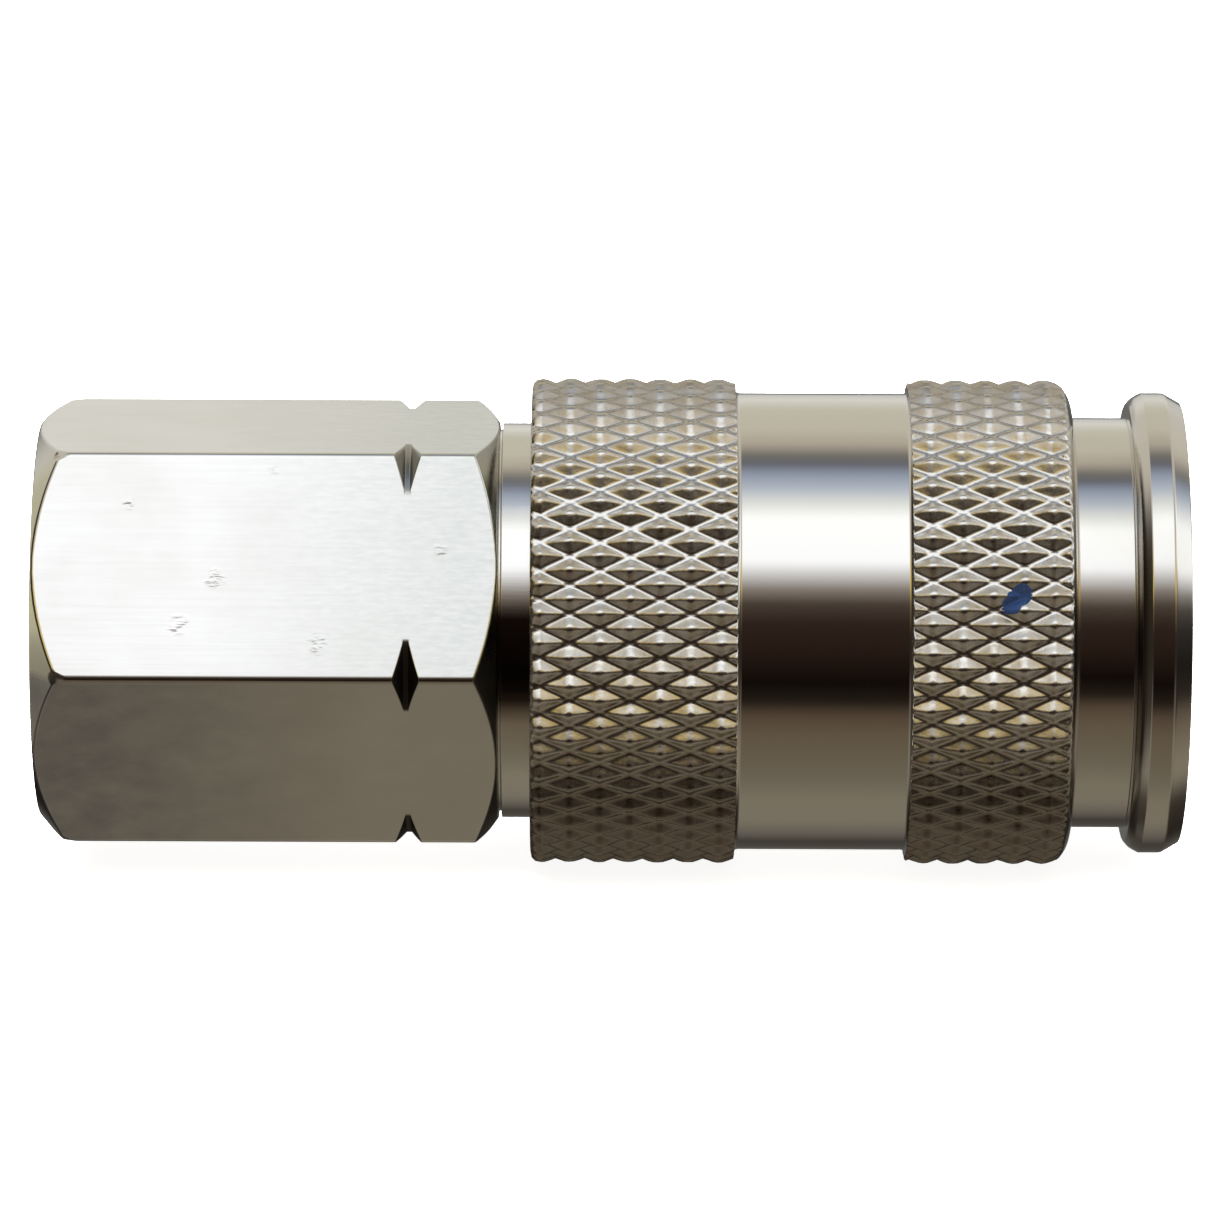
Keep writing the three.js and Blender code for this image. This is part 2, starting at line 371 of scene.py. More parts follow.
def knurled_metal():
    """The sleeve's plating: bright on the waist and in the knurl's grooves and tips, dull on its slopes,
    with painted shade making the knurl darker towards its bottom and a little at its top.
    """
    n = Surface("knurled_nickel_plate", metallic=1.0)
    radius = n.from_axis()
    root, tip = KNURL_FLOOR * MM, KNURL * MM
    out_of_root = n.span(radius, root + 0.03 * MM, root + 0.09 * MM, 0.0, 1.0)
    below_tip = n.span(radius, tip - 0.06 * MM, tip - 0.02 * MM, 1.0, 0.0)
    slope = n.product(out_of_root, below_tip)
    grit = n.noise((5200, 5200, 5200))
    worn = n.span(n.noise((700, 700, 700)), 0.45, 0.6, 0.0, 1.0)
    dull = n.mix(worn, colour(0.76, 0.74, 0.7), colour(0.68, 0.62, 0.51))

    on_band = n.span(radius, (WAIST + 0.1) * MM, (KNURL_FLOOR - 0.05) * MM, 0.0, 1.0)
    _, _, z = n.coordinates()
    # painted shade: the knurl darker towards its bottom, and a little at its top
    under = n.span(z, -2.5 * MM, -6 * MM, 0.0, 0.85)
    above = n.span(z, 10.2 * MM, 11.2 * MM, 0.0, 0.35)
    knurl_painted_shade = n.product(on_band, n.calculate("MAXIMUM", under, above))
    base = n.mix(knurl_painted_shade, n.mix(slope, NICKEL, dull), colour(0.25, 0.21, 0.17))

    smooth = n.span(on_band, 0.0, 1.0, 0.11, 0.25)
    rough = n.product(slope, n.span(grit, 0.3, 0.7, 0.26, 0.42))
    gritty = n.bump(n.product(slope, grit), 0.00001, lathe_rings(n))
    return n.finish(base, n.calculate("MAXIMUM", rough, smooth), gritty)


# Knocks on the hexagon: station, height along the flat from its middle, and size, on the flat
# that faces half up to the front.
KNOCKS = [
    (8.7, -0.6, 0.75), (7.0, -2.8, 0.8), (11.4, 4.8, 0.5), (13.5, -3.7, 0.75), (19.2, 0.8, 0.5),
    (4.6, 3.0, 0.5),
]


def knocked_places(n):
    """How near a point is to one of the knocks, from 0 to 1, with ragged edges."""
    tilt = math.radians(30)
    near = 0.0
    for at, height, size in KNOCKS:
        across = -FLATS / 2 * math.cos(tilt) + height * math.sin(tilt)
        up = FLATS / 2 * math.sin(tilt) + height * math.cos(tilt)
        away = n.vector("DISTANCE", (x_at(at), across * MM, up * MM)).outputs["Value"]
        near = n.calculate("MAXIMUM", near, n.span(away, size * 0.2 * MM, size * MM, 1.0, 0.0))
    ragged = n.noise((1800, 2600, 2600))
    return n.span(n.product(near, ragged), 0.15, 0.6, 0.0, 1.0)


def notch_shade_and_dirt(n):
    """How dark the groove round the hexagon's corners is painted, for its dirt and its shade: 1 on its
    sides and floor, less on top.
    """
    x, _, z = n.coordinates()
    radius = n.from_axis()
    widening = NOTCH_WIDENING / (HEX_CORNER - NOTCH_FLOOR)
    side = n.product(n.calculate("SUBTRACT", radius, NOTCH_FLOOR * MM), widening)
    reach = n.calculate("ADD", side, (NOTCH_HALF_WIDTH + 0.01) * MM)
    beside = n.calculate("ABSOLUTE", n.calculate("SUBTRACT", x, x_at(NOTCH_STATION)))
    inside = n.span(n.calculate("SUBTRACT", reach, beside), -0.03 * MM, 0.0, 0.0, 1.0)
    off_middle = n.span(radius, 10.1 * MM, 10.16 * MM, 0.0, 1.0)
    return n.product(inside, off_middle, n.span(z, 5 * MM, 8 * MM, 1.0, 0.35))


def chamfer_painted_shade(n):
    """Most of 1 on the lower half of the hexagon's chamfer beside the neck, where shade is painted into the
    colour.
    """
    x, _, z = n.coordinates()
    radius = n.from_axis()
    run = FRONT_CHAMFER / (HEX_CORNER - FRONT_RADIUS)
    reach = n.calculate("ADD", x, n.product(radius, run))
    start = x_at(HEX_END + FRONT_RADIUS * run)
    on_chamfer = n.span(reach, start - 0.08 * MM, start - 0.02 * MM, 0.0, 1.0)
    off_neck = n.span(radius, 9.43 * MM, 9.48 * MM, 0.0, 1.0)
    return n.product(on_chamfer, off_neck, n.span(z, 0.0, 3 * MM, 0.85, 0.0))


def lower_faces_painted_shade(n):
    """Rises to 1 toward the port end on the lower faces, where shade is painted into the colour."""
    x, _, z = n.coordinates()
    near_end = n.span(x, x_at(3), x_at(16), 1.0, 0.0)
    below = n.span(z, -0.3 * MM, 0.1 * MM, 1.0, 0.0)
    patchy = n.span(n.noise((500, 700, 700)), 0.3, 0.7, 0.6, 1.0)
    return n.product(near_end, below, patchy)


def upper_faces_painted_shade(n):
    """Rises to 1 toward the neck on the upper faces, where shade is painted into the colour."""
    x, _, z = n.coordinates()
    along = n.span(x, x_at(8), x_at(20), 0.0, 1.0)
    above = n.span(z, -0.3 * MM, 0.1 * MM, 0.0, 1.0)
    on_hexagon = n.span(x, x_at(HEX_END - 0.1), x_at(HEX_END), 1.0, 0.0)
    specks = n.span(n.noise((1500, 5000, 5000)), 0.35, 0.65, 0.6, 1.0)
    return n.product(along, above, on_hexagon, specks)


def neck_painted_shade(n):
    """1 on the neck's front between the hexagon and the sleeve, where shade is painted into the colour."""
    x, y, z = n.coordinates()
    on_neck = n.span(x, x_at(HEX_END), x_at(HEX_END + 0.05), 0.0, 1.0)
    front = n.span(y, -5 * MM, -3 * MM, 1.0, 0.0)
    below = n.span(z, 2.5 * MM, 3.2 * MM, 1.0, 0.0)
    above = n.span(z, -2.6 * MM, -1.4 * MM, 0.0, 1.0)
    return n.product(on_neck, front, below, above)


def drawn_metal():
    """Plated hexagon bar: faint lines along its length, small knocks, dirt and painted shade in its groove,
    and painted shade on its faces, on its chamfer beside the neck and on the neck.
    """
    n = Surface("drawn_nickel_plate", metallic=1.0)
    gloss = 0.13
    clouds = n.span(n.noise((200, 300, 300), 4), 0.35, 0.7, 0.0, 1.0)
    clean = n.mix(clouds, DRAWN_NICKEL, NICKEL)
    # painted shade on the lower faces toward the port end
    clean = n.mix(lower_faces_painted_shade(n), clean, colour(0.38, 0.37, 0.41))
    # painted shade on the upper faces toward the neck
    clean = n.mix(upper_faces_painted_shade(n), clean, colour(0.57, 0.575, 0.53))
    # painted shade on the neck's front
    clean = n.mix(neck_painted_shade(n), clean, colour(0.11, 0.09, 0.08))
    # painted shade with dirt in the groove, and painted shade on the chamfer beside the neck
    dark_dirt_and_shade = n.calculate("MAXIMUM", notch_shade_and_dirt(n), chamfer_painted_shade(n))
    base = n.mix(dark_dirt_and_shade, clean, colour(0.07, 0.06, 0.05))

    lines = n.noise((180, 7000, 7000))
    smooth = n.span(lines, 0.3, 0.75, gloss, gloss + 0.05)
    rough = n.calculate("MAXIMUM", smooth, n.product(dark_dirt_and_shade, 0.5))
    specks = n.span(n.noise((1500, 3200, 3200)), 0.45, 0.7, 0.0, 1.0)
    dents = n.product(knocked_places(n), specks)
    return n.finish(base, rough, n.bump(dents, 0.00002, n.bump(lines, 0.000001)))


def plain_metal(name, tint, gloss):
    """Unplated metal, slightly clouded."""
    n = Surface(name, metallic=1.0)
    clouds = n.noise((900, 900, 900), 4)
    base = n.mix(clouds, tint, colour(*[c * 0.8 for c in tint[:3]]))
    rough = n.span(clouds, 0.3, 0.7, gloss, gloss + 0.12)
    return n.finish(base, rough, n.bump(n.noise((5000, 5000, 5000), 2), 0.000002))


def rubber_material():
    n = Surface("nitrile_rubber")
    clouds = n.noise((1500, 1500, 1500), 4)
    base = n.mix(clouds, colour(0.012, 0.012, 0.013), colour(0.03, 0.03, 0.03))
    grain = n.bump(n.noise((9000, 9000, 9000)), 0.000006)
    return n.finish(base, n.span(clouds, 0.3, 0.7, 0.5, 0.65), grain)


def paint_material():
    n = Surface("blue_marking_paint")
    n.shader.inputs["Specular IOR Level"].default_value = 0.25
    clouds = n.noise((3000, 3000, 3000))
    base = n.mix(clouds, colour(0.001, 0.007, 0.026), colour(0.005, 0.019, 0.06))
    return n.finish(base, n.span(clouds, 0.3, 0.7, 0.45, 0.6), n.bump(clouds, 0.00001))


hexagon_nickel = drawn_metal()
nose_nickel = turned_metal()
sleeve_nickel = knurled_metal()
brass = plain_metal("bare_brass", colour(0.72, 0.52, 0.22), 0.25)
hard_steel = plain_metal("hard_steel", colour(0.56, 0.55, 0.53), 0.08)
spring_steel = plain_metal("spring_steel", colour(0.5, 0.49, 0.47), 0.22)
rubber = rubber_material()
blue_paint = paint_material()

# ---------------------------------------------------------------- adapter


def hexagon_section():
    """Points round the hexagon, from the corner on +Y, as (angle, radius). The corners are rounded."""
    reach, near = 0.2, np.arange(0.04, 2.1, 0.15)
    flat = HEX_CORNER - 2 * reach
    steps = [*near, *np.linspace(near[-1], flat - near[-1], 10)[1:-1], *(flat - near[::-1])]
    corners = [Vector((math.cos(a), math.sin(a))) * HEX_CORNER for a in round_angles(6).tolist()]
    section = []
    for i, corner in enumerate(corners):
        back = (corners[i - 1] - corner).normalized()
        on = (corners[(i + 1) % 6] - corner).normalized()
        start, end = corner + back * reach, corner + on * reach
        for t in np.linspace(0, 1, 5).tolist():
            section.append((1 - t) ** 2 * start + 2 * t * (1 - t) * corner + t**2 * end)
        section += [end + on * float(step) for step in steps]
    angles = np.unwrap([math.atan2(p.y, p.x) for p in section])
    return angles, np.array([p.length for p in section])


def thread_radius(stations, angles):
    """The female thread's radius, which fades out before the port's bottom."""
    thread_end, fading = 10.9, 0.7
    turn = stations / THREAD_PITCH - angles / TURN
    wave = 1 - np.abs(2 * (turn - np.floor(turn)) - 1)
    flank = np.clip(1.3 * wave - 0.15, 0, 1)
    shape = flank * flank * (3 - 2 * flank)
    fade = np.clip((thread_end - stations) / fading, 0, 1)
    return THREAD_MINOR + (THREAD_MAJOR - THREAD_MINOR) * shape * fade


def hexagon_column(radius):
    """The outside of the hexagon at one place round it, where its flat or corner has this radius."""
    end_face, chamfer, soft, fine = 9.35, 1.36, 0.1, 0.05
    rear = chamfer * (radius - end_face) / (HEX_CORNER - end_face)
    front = FRONT_CHAMFER * (radius - FRONT_RADIUS) / (HEX_CORNER - FRONT_RADIUS)
    shoulder = 0.12 + 0.4 * min(max((radius - 10.78) / 0.12, 0), 1)
    deep, above = min(radius, NOTCH_FLOOR), radius - NOTCH_FLOOR
    if above < 0:
        spread = NOTCH_HALF_WIDTH + 0.03 - above
    else:
        spread = NOTCH_HALF_WIDTH + max(0.03, NOTCH_WIDENING * above / (HEX_CORNER - NOTCH_FLOOR))
    return [
        (0, end_face, soft), (rear, radius, shoulder),
        (NOTCH_STATION - spread, radius, fine), (NOTCH_STATION - NOTCH_HALF_WIDTH, deep, fine),
        (NOTCH_STATION + NOTCH_HALF_WIDTH, deep, fine), (NOTCH_STATION + spread, radius, fine),
        (HEX_END - front, radius, soft), (HEX_END, FRONT_RADIUS, fine),
    ]


def adapter():
    """The hexagon with its turned ends, its corner groove, the neck, and the threaded port."""
    mouth, undercut, undercut_end, soft, fine = 6.7, 9.1, HEX_END + 0.14, 0.1, 0.05
    joint_bore, step, step_bore, passage, port_end = 7, 23, 6, 4.4, 12
    inside = [
        (HEX_END, undercut, fine), (undercut_end, undercut, fine), (undercut_end, NECK, fine),
        (ADAPTER_END, NECK, soft), (ADAPTER_END, joint_bore, fine), (step, joint_bore, fine),
        (step, step_bore, fine), (19.8, step_bore, fine), (19.8, passage, fine),
        (port_end, passage, fine), (port_end, THREAD_MINOR, fine), (11.5, THREAD_MINOR, fine),
    ]
    angles, corner_radii = hexagon_section()
    columns = [
        rounded([(0, mouth, fine), *hexagon_column(radius), *inside]) for radius in corner_radii
    ]
    grid = np.array(columns).transpose(1, 0, 2)
    threads = np.linspace(11.3, 0.06, 150)[:, None]
    entry = mouth - threads
    bore = np.maximum(thread_radius(threads, angles[None, :]), entry)
    bore_grid = np.stack([np.broadcast_to(threads, bore.shape), bore], axis=-1)
    grid = np.concatenate([grid, bore_grid])
    points = turned_points(grid[..., 0], grid[..., 1], angles)
    piece = make_mesh("adapter", points, ring_faces(*grid.shape[:2], True))
    return dress(piece, "body", "nickel_plate", hexagon_nickel, "adapter_body")


# ---------------------------------------------------------------- sleeve


def soft_least(first, second, softness):
    """The lesser of two, with the change between them rounded."""
    share = np.clip(0.5 + 0.5 * (second - first) / softness, 0, 1)
    return second * (1 - share) + first * share - softness * share * (1 - share)


def knurl_radius(stations, angles):
    """The knurled surface: pointed diamonds between two sets of round-bottomed spiral grooves."""
    helix = math.atan(TURN * KNURL / (KNURL_COUNT * KNURL_PERIOD))
    pitch = TURN * KNURL / KNURL_COUNT * math.cos(helix)
    front = stations > SLEEVE_MIDDLE
    start = np.where(front, FRONT_KNURL_STATION, REAR_KNURL_STATION)
    shift = np.where(front, 2 / KNURL_STEPS, 0)
    around = KNURL_COUNT * (angles - KNURL_ANGLE) / TURN + shift
    along = (stations - start) / KNURL_PERIOD

    def rise(phase, root):
        distance = np.abs(phase - np.round(phase)) * pitch
        bend = distance**2 / (2 * root)
        return KNURL_SLOPE * np.where(distance < root, bend, distance - root / 2)

    height = soft_least(rise(around + along, KNURL_ROOTS[0]), rise(around - along, KNURL_ROOTS[1]), 0.02)
    uneven = np.sin(3.1 * stations + 17 * angles) + np.sin(5.3 * stations - 29 * angles + 1.7)
    uneven += np.sin(1.3 * stations - 41 * angles + 0.4)
    height = height + 0.012 * uneven * (height > 0.05)
    return KNURL_FLOOR + soft_least(height, np.full_like(height, KNURL - KNURL_FLOOR), 0.05)


def knurl_rows(low, high, start):
    """Stations of the knurl's mesh rows between two stations."""
    step = KNURL_PERIOD / KNURL_STEPS
    first = math.ceil((low - start) / step + 0.3)
    last = math.floor((high - start) / step - 0.3)
    return [start + step * i for i in range(first, last + 1)]


def sleeve():
    """The grip: two knurled bands, the smooth waist between them, and the bore with its locking land."""
    rear_end, front_start = 33.04, 41.2
    spring_bore, land, land_start, land_end, release_bore = 9.5, 9.15, 38.5, 42.1, 9.85
    outline = rounded([
        (SLEEVE_START, 9.6, 0.1), (SLEEVE_START, KNURL, 0.5), (rear_end, KNURL, 0.6),
        (rear_end, WAIST, 0.2), (front_start, WAIST, 0.2), (front_start, KNURL, 0.28),
        (48.0, KNURL, 0.3), (48.5, 11.34, 0.25), (48.87, 10.78, 0.25), (SLEEVE_END, 10.1, 0.2),
        (SLEEVE_END, release_bore, 0.05), (land_end + 1, release_bore, 0.1), (land_end, land, 0.1),
        (land_start, land, 0.1), (land_start, spring_bore, 0.05), (SLEEVE_START + 0.15, spring_bore, 0.05),
    ])
    rows = []
    for here, after in zip(outline, np.roll(outline, -1, axis=0)):
        rows.append(here)
        on_band = min(here[1], after[1]) > KNURL - 0.01
        if on_band:
            start = FRONT_KNURL_STATION if here[0] > SLEEVE_MIDDLE else REAR_KNURL_STATION
            rows += [(at, KNURL) for at in knurl_rows(here[0], after[0], start)]
    rows = np.array(rows)
    angles = round_angles(KNURL_COUNT * KNURL_STEPS, KNURL_ANGLE)
    stations = np.repeat(rows[:, :1], len(angles), axis=1)
    radii = np.minimum(rows[:, 1:], knurl_radius(stations, angles[None, :]))
    waist = (stations > rear_end + 0.01) & (stations < front_start - 0.01)
    inside = rows[:, 1:] < WAIST + 0.01
    radii = np.where(waist | inside, rows[:, 1:], radii)
    piece = make_mesh("sleeve_grip", turned_points(stations, radii, angles), crease_faces(radii))
    return dress(piece, "grip", "nickel_plate_knurled", sleeve_nickel, "sleeve")


def crease_faces(radii):
    """Triangles of a closed grid, each cell cut along its more level diagonal, as the grooves run."""
    rows, columns = radii.shape
    faces = []
    for i in range(rows):
        j = (i + 1) % rows
        for k in range(columns):
            m = (k + 1) % columns
            a, b, c, d = i * columns + k, i * columns + m, j * columns + m, j * columns + k
            if abs(radii[i, k] - radii[j, m]) <= abs(radii[i, m] - radii[j, k]):
                faces += [(a, b, c), (a, c, d)]
            else:
                faces += [(a, b, d), (b, c, d)]
    return faces


# ---------------------------------------------------------------- nose body and its balls


def nose():
    """The nose: spigot, barrel, ball zone, sleeve guide, flange and plug socket."""
    barrel_start, barrel, ball_zone_start, ball_zone = ADAPTER_END + 0.05, 8.1, 41.2, 8.9
    guide_start, guide, flange, face = 46.6, 9.77, 10.97, 10.5
    mouth, socket, keeper_room, keeper_room_end, seal_start, seal_stop = 6.6, 5.7, 5.95, 41.3, 34.2, 33.6
    piece = turned("nose", [
        (NOSE_START, 6, 0.1), (NOSE_START, 6.95, 0.15), (barrel_start, 6.95, 0.05),
        (barrel_start, barrel, 0.1), (ball_zone_start, barrel, 0.1), (ball_zone_start, ball_zone, 0.1),
        (guide_start, ball_zone, 0.05), (guide_start, guide, 0.15), (FLANGE_FLANK, guide, 0.04),
        (FLANGE_FLANK + 0.05, 10.42, 0.12), (51.9, 10.73, 0.12), (52.33, flange, 0.05),
        (FLANGE_TAPER, flange, 0.1), (NOSE_END, face, 0.06), (NOSE_END, mouth, 0.12),
        (NOSE_END - 0.9, socket, 0.1), (keeper_room_end, socket, 0.06),
        (keeper_room_end, keeper_room, 0.05), (seal_start, keeper_room, 0.05),
        (seal_start, 4.9, 0.08), (seal_stop, 4.9, 0.08), (seal_stop, 6, 0.05),
    ], columns=192, steps=5)
    drill_ball_holes(piece)
    return dress(piece, "body", "nickel_plate", nose_nickel, "nose_body")


def drill_ball_holes(piece):
    """Cuts the six holes that hold the balls through the socket's wall."""
    hole, inner, outer, sides = 2.12, 4.6, 9.4, 40
    points, faces = [], []
    for i in range(BALLS):
        low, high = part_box(f"ball_{i + 1}")
        middle = (low + high) / 2
        outward = Vector((0, middle.y, middle.z)).normalized()
        aside = Vector((1, 0, 0)).cross(outward)
        first = len(points)
        for radius in (inner, outer):
            for angle in round_angles(sides).tolist():
                at = outward * radius + aside * (hole * math.sin(angle))
                points.append((BALL_STATION + hole * math.cos(angle), at.y, at.z))
        for k in range(sides):
            m = (k + 1) % sides
            faces.append((first + k, first + m, first + sides + m, first + sides + k))
        faces.append(tuple(first + k for k in reversed(range(sides))))
        faces.append(tuple(first + sides + k for k in range(sides)))
    cutter = make_mesh("ball_hole_cutter", points, faces)
    cut = piece.modifiers.new("ball_holes", "BOOLEAN")
    cut.operation, cut.solver, cut.object = "DIFFERENCE", "EXACT", cutter
    evaluated = piece.evaluated_get(bpy.context.evaluated_depsgraph_get())
    drilled = bpy.data.meshes.new_from_object(evaluated)
    piece.modifiers.clear()
    piece.data = drilled
    bpy.data.objects.remove(cutter)


def sphere(name, centre, radius, around=40, over=20):
    """A ball from rings about X."""
    stations, radii = [], []
    for i in range(1, over):
        angle = math.pi * i / over
        stations.append(centre[0] - radius * math.cos(angle))
        radii.append(radius * math.sin(angle))
    rings = turned_points(np.array(stations)[:, None], np.repeat(np.array(radii)[:, None], around, 1),
                          round_angles(around))
    points = (rings + np.array([0, centre[1], centre[2]])).tolist()
    faces = ring_faces(over - 1, around, False)
    last = (over - 2) * around
    points += [[centre[0] - radius, centre[1], centre[2]], [centre[0] + radius, centre[1], centre[2]]]
    for k in range(around):
        m = (k + 1) % around
        faces.append((len(points) - 2, m, k))
        faces.append((len(points) - 1, last + k, last + m))
    return make_mesh(name, points, faces)


def balls():
    for i in range(1, BALLS + 1):
        low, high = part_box(f"ball_{i}")
        middle = (low + high) / 2
        centre = (BALL_STATION, middle.y / MM, middle.z / MM)
        piece = sphere(f"locking_ball_{i}", centre, BALL_RADIUS)
        dress(piece, f"ball_{i}", "hard_steel", hard_steel, f"ball_{i}")


# ---------------------------------------------------------------- keeper, seals and valve


def keeper():
    piece = turned("keeper_ring", [
        (KEEPER_START, 4.6, 0.1), (KEEPER_START, 5.85, 0.1), (KEEPER_START + 1, 5.85, 0.08),
        (KEEPER_START + 1, 5.6, 0.05), (KEEPER_END - 0.2, 5.6, 0.08), (KEEPER_END, 5.4, 0.08),
        (KEEPER_END, 4.9, 0.08), (KEEPER_END - 0.3, 4.6, 0.08),
    ])
    dress(piece, "keeper", "bare_brass", brass, "ball_keeper")


def seals():
    middle = (SEAL_START + SEAL_END) / 2
    lip = turned("plug_lip_seal", [
        (SEAL_START, 4.6, 0.15), (SEAL_START, 5.92, 0.15), (SEAL_END, 5.92, 0.15),
        (SEAL_END, 4.6, 0.15), (SEAL_END - 0.5, 4.5, 0.2), (middle + 0.35, 4.75, 0.2),
        (middle, 5.0, 0.3), (middle - 0.35, 4.75, 0.2), (SEAL_START + 0.5, 4.5, 0.2),
    ])
    dress(lip, "body", "seal_rubber", rubber, "plug_seal")
    ring("joint_gasket", "body_gasket", 6.05, "seal_rubber", rubber, 0.12)
    ring("valve_face_ring", "valve_seal", 3.3, "seal_rubber", rubber, 0.12)


def ring(name, node, inner, slot, material, rounding=0.1):
    """A flat ring with rounded edges in the space of a CAD ring."""
    start, end = ends(node)
    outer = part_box(node)[1].y / MM
    corners = ((start, inner), (start, outer), (end, outer), (end, inner))
    piece = turned(name, [(*corner, rounding) for corner in corners])
    bodies = frame["record"]["behaviour"]["bodies"]
    body = next(body for body, nodes in bodies.items() if node in nodes)
    dress(piece, body, slot, material, node)


def rings():
    ring("clamp_ring", "seal_clamp_ring", 4.5, "bare_brass", brass)
    ring("rear_washer", "rear_spring_washer", 8.3, "hard_steel", hard_steel)
    ring("front_washer", "thrust_washer", 8.3, "hard_steel", hard_steel)


def valve():
    tail, tip = ends("valve_poppet")
    head, head_end, cup = 28.4, 29.8, 1.6
    piece = turned_on_axis("poppet", [
        (tail, 0, 0), (tail, 1.3, 0.1), (tail + 0.3, 1.6, 0.1), (head, 1.6, 0.2), (head, 5.2, 0.15),
        (head_end, 5.2, 0.15), (head_end, 3.2, 0.15), (tip, 3.2, 0.2), (tip, 2.1, 0.2),
        (tip - cup, 1.9, 0.2), (tip - cup, 0, 0),
    ])
    dress(piece, "valve", "bare_brass", brass, "valve_poppet")


def spider():
    """The perforated plate keeps its CAD shape and takes the brass."""
    plate = frame["nodes"]["spring_spider"]
    plate.data.materials.clear()
    plate.data.materials.append(brass)


# ---------------------------------------------------------------- springs


def coil(name, start, end, radius, wire, turns, first=0.0, last=1.0):
    """A compression spring, or the part of it between two shares of its length, with ground ends."""
    sides, per_turn = 12, 44
    count = int(turns * per_turn * (last - first))
    turn = turns * np.linspace(first, last, count + 1)
    closed = np.minimum(turn, 1) + np.maximum(turn - turns + 1, 0)
    pitch = wire * 1.06
    low, high = start + wire * 0.25, end - wire * 0.25
    open_pitch = (high - low - 2 * pitch) / (turns - 2)
    along = low + closed * pitch + (turn - closed) * open_pitch
    angle = TURN * turn
    centre = np.stack([along, radius * np.cos(angle), radius * np.sin(angle)], axis=-1)
    outward = np.stack([np.zeros_like(angle), np.cos(angle), np.sin(angle)], axis=-1)
    ahead = np.gradient(centre, axis=0)
    ahead /= np.linalg.norm(ahead, axis=1)[:, None]
    side = np.cross(ahead, outward)
    around = round_angles(sides)
    points = (
        centre[:, None]
        + wire / 2 * np.cos(around)[None, :, None] * outward[:, None]
        + wire / 2 * np.sin(around)[None, :, None] * side[:, None]
    )
    points[..., 0] = np.clip(points[..., 0], start, end)
    faces = ring_faces(count + 1, sides, False)
    faces.append(tuple(range(sides)))
    faces.append(tuple(count * sides + k for k in reversed(range(sides))))
    return make_mesh(name, points.reshape(-1, 3), faces)


def inner_spring(name, node, radius, turns):
    """The keeper's or the valve's spring."""
    wire, travel = 0.6, 4
    start, end = ends(node)
    piece = coil(name, start, end, radius, wire, turns)
    dress(piece, "body", "spring_steel", spring_steel, node)
    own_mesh(piece)


def sleeve_spring():
    """The sleeve's spring, in two parts."""
    start, end = ends("sleeve_spring")
    share, radius, wire, turns = 0.55, 8.8, 1.0, 5
    rear = coil("sleeve_coil_rear", start, end, radius, wire, turns, 0, share)
    front = coil("sleeve_coil_front", start, end, radius, wire, turns, share, 1)
    for piece in (rear, front):
        dress(piece, None, "spring_steel", spring_steel, "sleeve_spring")
    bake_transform(rear)
    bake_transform(front)


def springs():
    inner_spring("keeper_coil", "keeper_spring", 5.15, 3)
    inner_spring("valve_coil", "valve_spring", 4.6, 5)
    sleeve_spring()


# ---------------------------------------------------------------- paint mark


def paint_mark():
    """A slanting dab of blue paint on the front knurl: a closed skin that follows the diamonds."""
    rng = random.Random(5)
    ragged = [rng.uniform(0.82, 1.18) for _ in range(13)]
    middle, height, slant, rays, rings_out = 45.95, math.radians(180 - 20.4), math.radians(40), 64, 12
    top, bottom = [], []
    for i in range(rings_out + 1):
        for k in range(rays):
            angle = TURN * k / rays
            place = angle / TURN * len(ragged)
            low = int(place)
            edge = ragged[low] + (ragged[(low + 1) % len(ragged)] - ragged[low]) * (place - low)
            lobe = 0.45 + 0.33 * abs(math.cos(angle - slant)) ** 2
            out = lobe * edge * i / rings_out
            at = middle + out * math.cos(angle)
            turn = height - out * math.sin(angle) / KNURL
            radius = float(knurl_radius(np.array([at]), np.array([turn]))[0])
            lift = 0.04 * (1 - (i / rings_out) ** 4)
            for points, r in ((top, radius + lift), (bottom, radius - 0.05)):
                points.append((at, r * math.cos(turn), r * math.sin(turn)))
    count = len(top)
    faces = []
    for i in range(rings_out):
        for k in range(rays):
            m = (k + 1) % rays
            a, b, c, d = i * rays + k, i * rays + m, (i + 1) * rays + m, (i + 1) * rays + k
            faces.append((a, b, c, d))
            faces.append((count + d, count + c, count + b, count + a))
    edge = rings_out * rays
    for k in range(rays):
        m = (k + 1) % rays
        faces.append((edge + k, edge + m, count + edge + m, count + edge + k))
    piece = make_mesh("paint_mark", top + bottom, faces)
    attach(piece, "grip")
    piece.data.materials.append(blue_paint)


# ---------------------------------------------------------------- stage, light and camera

CAMERA_HEIGHT = math.radians(15)  # above the axis

# The light's colour by direction, in degrees up from the horizon in front of the coupler, over the
# top and down behind it.
BRIGHTEST = 1.6
SQUARE_SKY = [
    (-180, 0.2, 0.2, 0.19), (-145, 0.08, 0.075, 0.065), (-132, 0.065, 0.058, 0.048),
    (-120, 0.165, 0.15, 0.13), (-105, 0.26, 0.235, 0.185), (-88, 0.27, 0.245, 0.187),
    (-70, 0.2, 0.175, 0.13), (-45, 0.165, 0.13, 0.09), (-34, 0.12, 0.085, 0.06),
    (-26, 0.02, 0.015, 0.01), (-16, 0.006, 0.004, 0.003), (0, 0.025, 0.014, 0.01),
    (14, 0.035, 0.022, 0.016), (24, 0.08, 0.06, 0.048), (31, 0.3, 0.26, 0.23),
    (38, 0.8, 0.8, 0.82), (45, 1.4, 1.45, 1.55), (68, 1.45, 1.5, 1.55), (76, 1.05, 1.1, 1.1),
    (85, 0.62, 0.7, 0.84), (94, 0.38, 0.45, 0.6), (101, 0.17, 0.18, 0.22), (107, 0.22, 0.215, 0.2),
    (116, 0.58, 0.53, 0.45), (128, 0.7, 0.67, 0.56), (150, 0.7, 0.69, 0.59), (165, 0.86, 0.85, 0.8),
    (180, 0.6, 0.6, 0.58),
]
